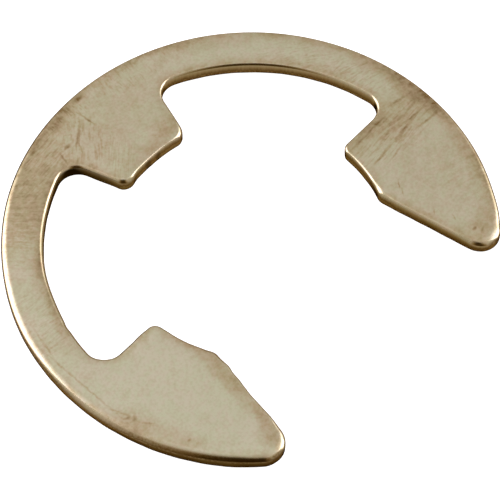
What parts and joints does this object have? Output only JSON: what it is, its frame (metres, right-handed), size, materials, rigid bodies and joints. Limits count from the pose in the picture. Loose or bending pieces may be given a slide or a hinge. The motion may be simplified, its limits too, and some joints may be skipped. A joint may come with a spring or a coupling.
{
  "type": "e clip",
  "caption": "E-shaped retaining clip of spring steel that snaps sideways into a groove on a shaft and keeps parts from sliding off.",
  "frame": {"origin": "centre of the shaft that the prongs grip, on the face that the clip lies on", "axes": "+Z along the shaft, through the sheet's thickness; the mouth opens towards -Y; the prong opposite the mouth is on +Y"},
  "size_m": [0.038, 0.033, 0.0013],
  "materials": {
    "e_clip": "satin, tumbled spring steel with a light brown heat tint, brighter along its rounded edges"
  },
  "bodies": {
    "root": {"e_clip": "e_clip"}
  },
  "joints": []
}
